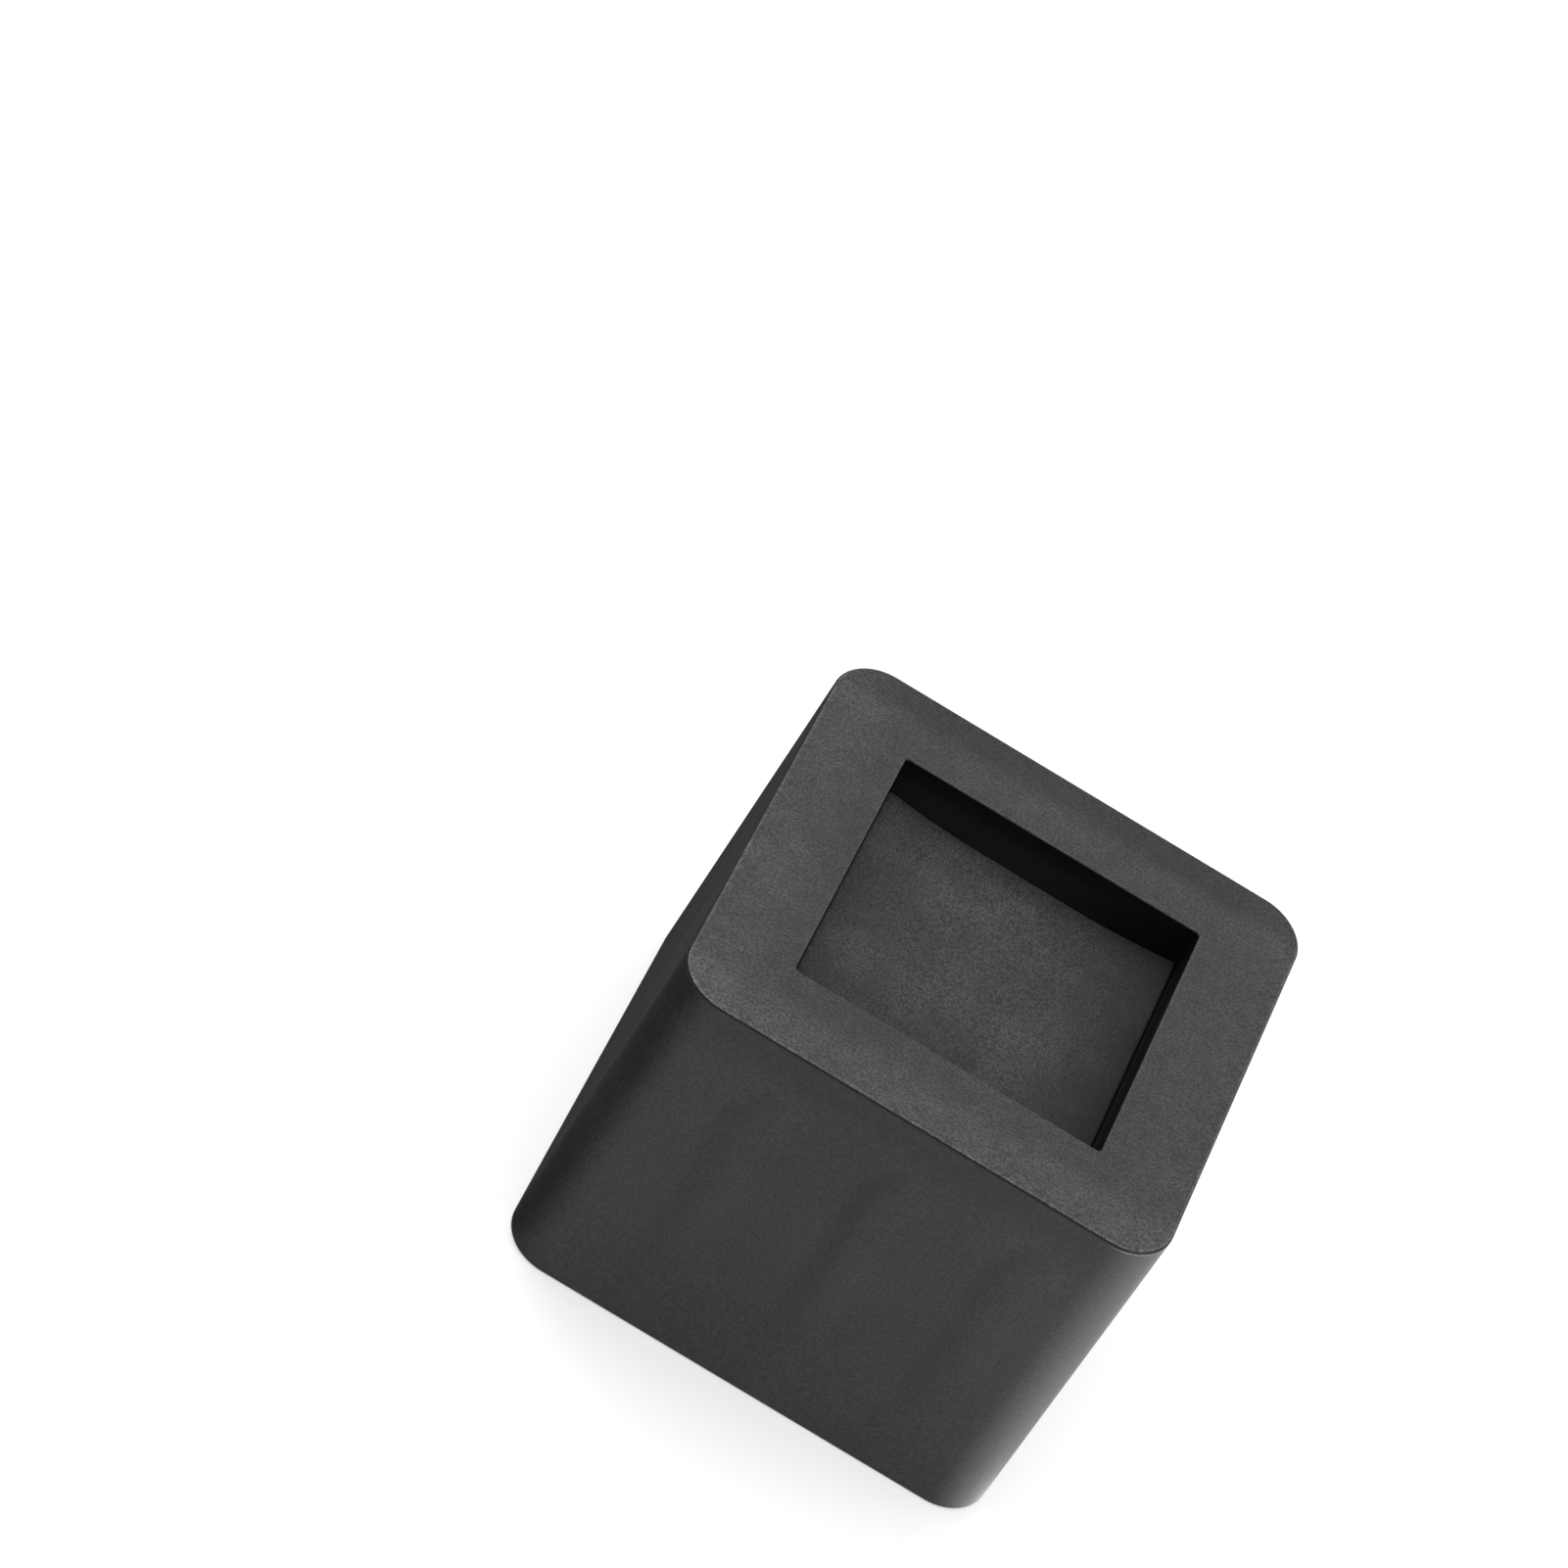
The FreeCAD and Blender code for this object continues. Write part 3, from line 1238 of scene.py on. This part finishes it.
@dataclass(frozen=True)
class GlossCard:
    """A card flat on the floor by a front corner, seen only in the gloss.

    The dark one keeps the left corner as deep as it is in the reference view, where
    that side stands in shade. The bright one draws the pale sheen down the right
    corner. Each fades out with its bearing from the corner, so that its edge never
    shows, and neither throws a shadow nor lights anything. A side of -1 is the left
    one and of 1 the right one, and the sizes are in metres.
    """

    name: str
    side: float
    strength: float
    rises_deg: Span
    falls_deg: Span
    corner: float = 0.041
    near: float = 0.03
    reach: float = 0.26
    lift: float = 0.0006

    def build(self) -> bpy.types.Object:
        """Lay the card beside the riser.

        Returns:
            The card object.
        """
        near, far, z = self.near * self.side, self.reach * self.side, self.lift
        front, back = -self.reach, self.reach
        corners = [(near, front, z), (far, front, z), (far, back, z), (near, back, z)]
        mesh = bpy.data.meshes.new(self.name)
        mesh.from_pydata(corners, [], [(0, 1, 2, 3)])
        mesh.materials.append(self._card())
        card = bpy.data.objects.new(self.name, mesh)
        card.visible_camera = False
        card.visible_diffuse = False
        card.visible_transmission = False
        card.visible_shadow = False
        bpy.context.scene.collection.objects.link(card)
        return card

    def _card(self) -> bpy.types.Material:
        """Make a glowing card that thins to nothing round its bearing from the corner.

        Returns:
            The finished material.
        """
        material = empty_material(self.name)
        tree = material.node_tree
        at = Skin(tree).at
        out = (at["X"], self.side, -self.corner)
        ahead = (at["Y"], -1.0, -self.corner)
        legs = [add_node(tree, "Math", leg, operation="MULTIPLY_ADD") for leg in (out, ahead)]
        bearing = add_node(tree, "Math", legs, operation="ARCTAN2")
        rises = (bearing, *map(math.radians, self.rises_deg))
        falls = (bearing, *map(math.radians, self.falls_deg), 1.0, 0.0)
        sides = [add_node(tree, "MapRange", side, **EASED) for side in (rises, falls)]
        shown = add_node(tree, "Math", sides, operation="MULTIPLY")
        clear = add_node(tree, "BsdfTransparent")
        glow = add_node(tree, "Emission", {"Strength": self.strength})
        card = add_node(tree, "MixShader", (shown, clear, glow))
        add_node(tree, "OutputMaterial", {"Surface": card})
        return material


DARK_CARD = GlossCard(
    "dark_card", side=-1.0, strength=0.02, rises_deg=(0.0, 75.0), falls_deg=(178.0, 180.0)
)
BRIGHT_CARD = GlossCard(
    "bright_card", side=1.0, strength=2.5, rises_deg=(0.0, 50.0), falls_deg=(70.0, 125.0)
)


@dataclass(frozen=True)
class StudioLight:
    """Even tent light, a broad soft box overhead and a smaller one to the right."""

    tent: float = 0.62
    boxes: tuple[SoftBox, ...] = (
        SoftBox("soft_box_overhead", watts=8.5, side=1.1, place=(-0.2, 0.45, 1.4)),
        SoftBox("soft_box_right", watts=0.55, side=0.24, place=(0.36, -0.2, 0.1)),
    )

    def build(self) -> None:
        """Set the world and hang the soft boxes."""
        world = bpy.data.worlds.new("light_tent")
        bpy.context.scene.world = world
        world.use_nodes = True
        tree = world.node_tree
        tree.nodes.clear()
        dim = add_node(tree, "Background", {"Color": WHITE, "Strength": self.tent})
        white = add_node(tree, "Background", {"Color": WHITE, "Strength": 1.0})
        tent = add_node(tree, "MixShader", (seen_directly(tree), dim, white))
        add_node(tree, "OutputWorld", {"Surface": tent})
        for box in self.boxes:
            box.hang()


@dataclass
class PhotoCamera:
    """A long lens from above the front face, rolled as the reference view is.

    It aims level with the rim, at the riser's left side.
    """

    lens_mm: float = 153.757
    sensor_mm: float = 36.0
    clip: Span = (0.01, 50.0)
    place_mm: Point = (-92.864, -887.429, 905.085)
    aim_mm: Point = (-49.2792, 8.2732, 81.5)
    roll_deg: float = 32.86434

    def build(self) -> bpy.types.Object:
        """Set up the camera and make it the scene's own.

        Returns:
            The camera object.
        """
        lens = bpy.data.cameras.new("reference_view")
        lens.lens = self.lens_mm
        lens.sensor_width = self.sensor_mm
        lens.clip_start, lens.clip_end = self.clip
        camera = bpy.data.objects.new("reference_view", lens)
        place = Vector(self.place_mm) * MM
        level = (Vector(self.aim_mm) * MM - place).to_track_quat("-Z", "Y").to_matrix().to_4x4()
        roll = Matrix.Rotation(math.radians(self.roll_deg), 4, "Z")
        camera.matrix_world = Matrix.Translation(place) @ level @ roll
        bpy.context.scene.collection.objects.link(camera)
        bpy.context.scene.camera = camera
        return camera


def main() -> None:
    """Build the dressed riser, its stage, its light and its camera."""
    logging.basicConfig(level=logging.INFO, format="%(name)s: %(message)s")
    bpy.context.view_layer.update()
    builders: list[Callable[[], bpy.types.Object]] = [
        RiserBody().build,
        RecessPad().build,
        PaleSweep().build,
        DARK_CARD.build,
        BRIGHT_CARD.build,
        PhotoCamera().build,
    ]
    for build in builders:
        made = build()
        if made.type == "MESH":
            LOG.info("%s: %d faces", made.name, len(made.data.polygons))
    StudioLight().build()
    bpy.context.scene.view_settings.view_transform = "Standard"


if __name__ == "__main__":
    main()
